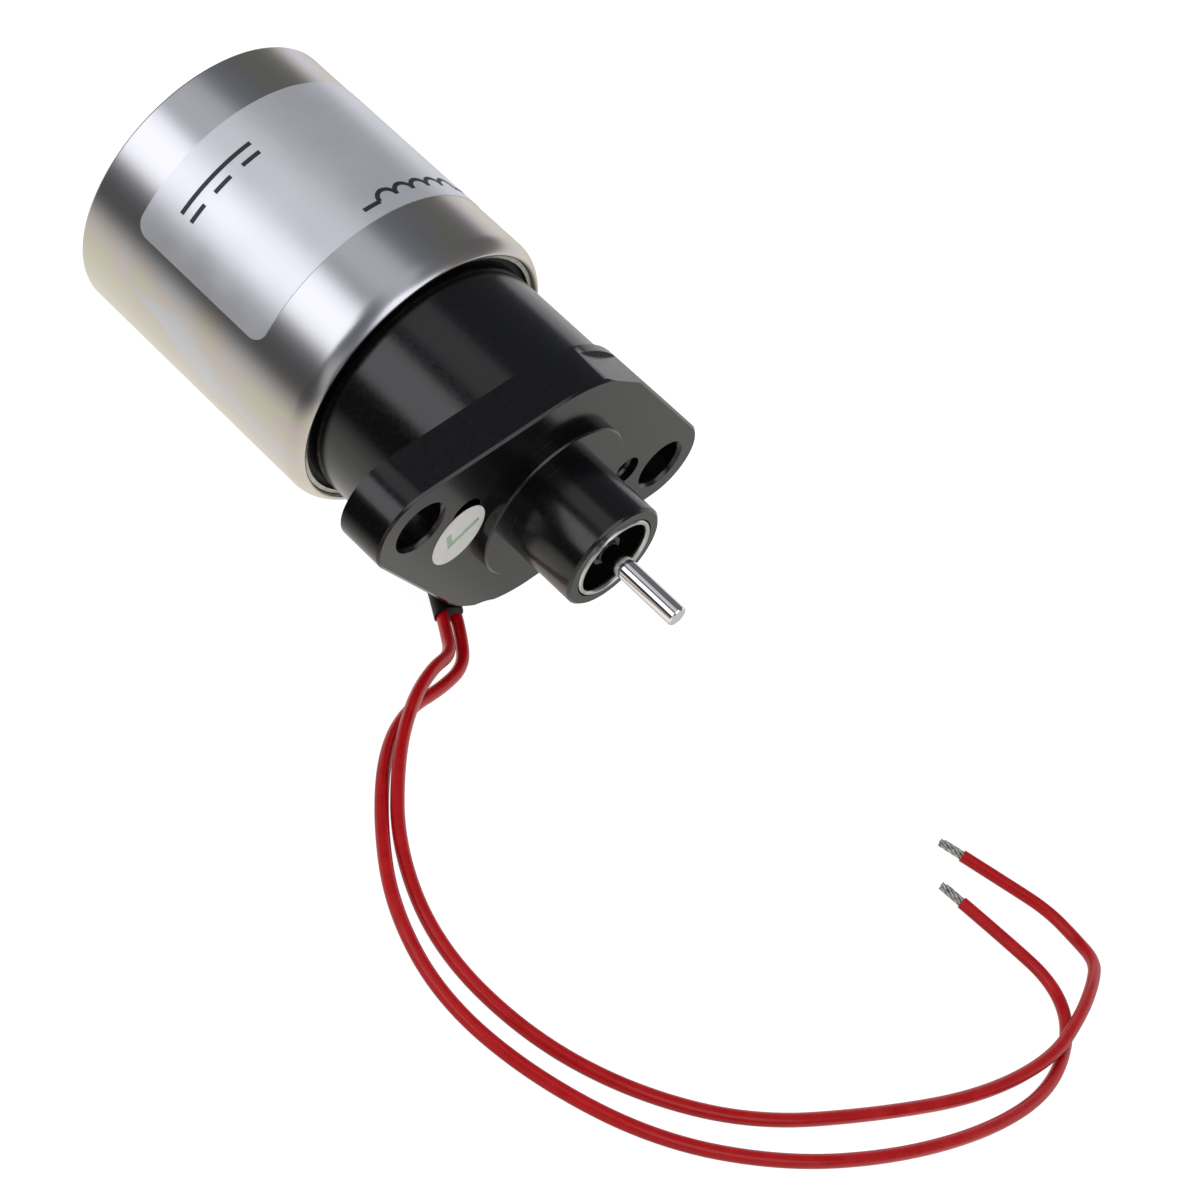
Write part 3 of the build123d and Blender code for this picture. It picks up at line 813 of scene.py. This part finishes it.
# Bench and lights: a white bench in a white room, with soft lights beside the can, above it, on
# its far side and in front of the pin. Reflections see the room dim, and the bench dark on the
# sticker's side but for a bright strip close to the can.
floor_height = -can_radius
bench_half = 4
bench = bpy.data.meshes.new("bench")
shape = bmesh.new()
bmesh.ops.create_grid(shape, x_segments=1, y_segments=1, size=bench_half)
bmesh.ops.translate(shape, vec=(0, 0, floor_height), verts=shape.verts)
shape.to_mesh(bench)
shape.free()
floor = bpy.data.objects.new("bench", bench)
bpy.context.scene.collection.objects.link(floor)

white_bench = bpy.data.materials.new("white_bench")
white_bench.use_nodes = True
white_bench.node_tree.nodes.remove(white_bench.node_tree.nodes["Principled BSDF"])
bench_reach = 0.5
bench_shades = (
    (-0.42, 0.26),
    (-0.38, 0.04),
    (-0.054, 0.04),
    (-0.036, 0.72),
    (-0.01, 0.95),
    (0.01, 0.55),
    (0.05, 0.50),
    (0.15, 0.75),
)
front_start = 0.0
front_end = 0.03
front_shade = 0.58
glow_strength = 1.35
paper_share = 0.3
across = add_node(white_bench, "SeparateXYZ")
connect(white_bench, place_on_object(white_bench), across.inputs["Vector"])
share = add_node(white_bench, "MapRange", {"From Min": -bench_reach, "From Max": bench_reach})
connect(white_bench, across.outputs["Y"], share.inputs["Value"])
shades = add_node(white_bench, "ValToRGB")
while len(shades.color_ramp.elements) < len(bench_shades):
    shades.color_ramp.elements.new(0.5)
for element, (reach, shade_value) in zip(shades.color_ramp.elements, bench_shades):
    element.position = (reach + bench_reach) / (2 * bench_reach)
    element.color = (shade_value, shade_value, shade_value, 1)
connect(white_bench, share.outputs["Result"], shades.inputs["Fac"])
front_part = add_node(
    white_bench,
    "MapRange",
    {"From Min": front_start, "From Max": front_end, "To Min": 0.0, "To Max": front_shade},
)
connect(white_bench, across.outputs["X"], front_part.inputs["Value"])
brighter = add_node(white_bench, "Math", operation="MAXIMUM")
connect(white_bench, shades.outputs["Color"], brighter.inputs[0])
connect(white_bench, front_part.outputs["Result"], brighter.inputs[1])
seen_in_reflections = add_node(white_bench, "Emission", {"Color": (1, 0.985, 0.94, 1)})
connect(white_bench, brighter.outputs["Value"], seen_in_reflections.inputs["Strength"])
lit_paper = add_node(white_bench, "BsdfDiffuse", {"Color": (0.9, 0.9, 0.9, 1)})
glow = add_node(white_bench, "Emission", {"Strength": glow_strength})
seen_by_camera = add_node(white_bench, "MixShader", {"Fac": paper_share})
connect(white_bench, glow.outputs["Emission"], seen_by_camera.inputs[1])
connect(white_bench, lit_paper.outputs["BSDF"], seen_by_camera.inputs[2])
ray = add_node(white_bench, "LightPath")
which = add_node(white_bench, "MixShader")
connect(white_bench, ray.outputs["Is Camera Ray"], which.inputs["Fac"])
connect(white_bench, seen_in_reflections.outputs["Emission"], which.inputs[1])
connect(white_bench, seen_by_camera.outputs["Shader"], which.inputs[2])
bench_output = white_bench.node_tree.nodes["Material Output"]
connect(white_bench, which.outputs["Shader"], bench_output.inputs["Surface"])
bench.materials.append(white_bench)

world = bpy.data.worlds.new("room")
world.use_nodes = True
bpy.context.scene.world = world
room = world.node_tree
room.nodes.remove(room.nodes["Background"])
room_ray = room.nodes.new("ShaderNodeLightPath")


def room_colour(colour, strength):
    """Make one even colour of the room."""
    background = room.nodes.new("ShaderNodeBackground")
    background.inputs["Color"].default_value = (*colour, 1)
    background.inputs["Strength"].default_value = strength
    return background.outputs["Background"]


def choose_by_ray(kind, shown, otherwise):
    """Show one colour to this kind of ray, and another to all others."""
    choice = room.nodes.new("ShaderNodeMixShader")
    room.links.new(room_ray.outputs[kind], choice.inputs["Fac"])
    room.links.new(otherwise, choice.inputs[1])
    room.links.new(shown, choice.inputs[2])
    return choice.outputs["Shader"]


fill = room_colour((1, 1, 1), 0.55)
dim_room = room_colour((0.88, 0.93, 1), 0.15)
white_wall = room_colour((1, 1, 1), 1.0)
lighting = choose_by_ray("Is Glossy Ray", dim_room, fill)
whole_room = choose_by_ray("Is Camera Ray", white_wall, lighting)
room.links.new(whole_room, room.nodes["World Output"].inputs["Surface"])


def soft_light(name, direction, distance, length, width, brightness):
    """Hang a soft light in this direction, with its length level and its face towards the solenoid."""
    lamp = bpy.data.lights.new(name, "AREA")
    lamp.shape = "RECTANGLE"
    lamp.color = (0.98, 0.96, 1)
    lamp.size = length
    lamp.size_y = width
    lamp.energy = brightness * pi * length * width
    light = bpy.data.objects.new(name, lamp)
    back = Vector(direction).normalized()
    along = Vector((-back.y, back.x, 0)).normalized()
    turn = Matrix((along, back.cross(along), back)).transposed().to_4x4()
    light.matrix_world = Matrix.Translation(distance * back) @ turn
    bpy.context.scene.collection.objects.link(light)


soft_light("side_light", (-0.5, -0.82, 0.28), 1.05, 1.2, 0.62, 1.55)
soft_light("top_light", (0, -0.41, 0.91), 0.9, 2.4, 0.5, 0.48)
soft_light("far_wall", (0, 0.98, 0.21), 1.1, 2.4, 0.5, 0.75)
soft_light("front_light", (0.86, -0.1, 0.5), 1.0, 0.8, 0.5, 1.4)
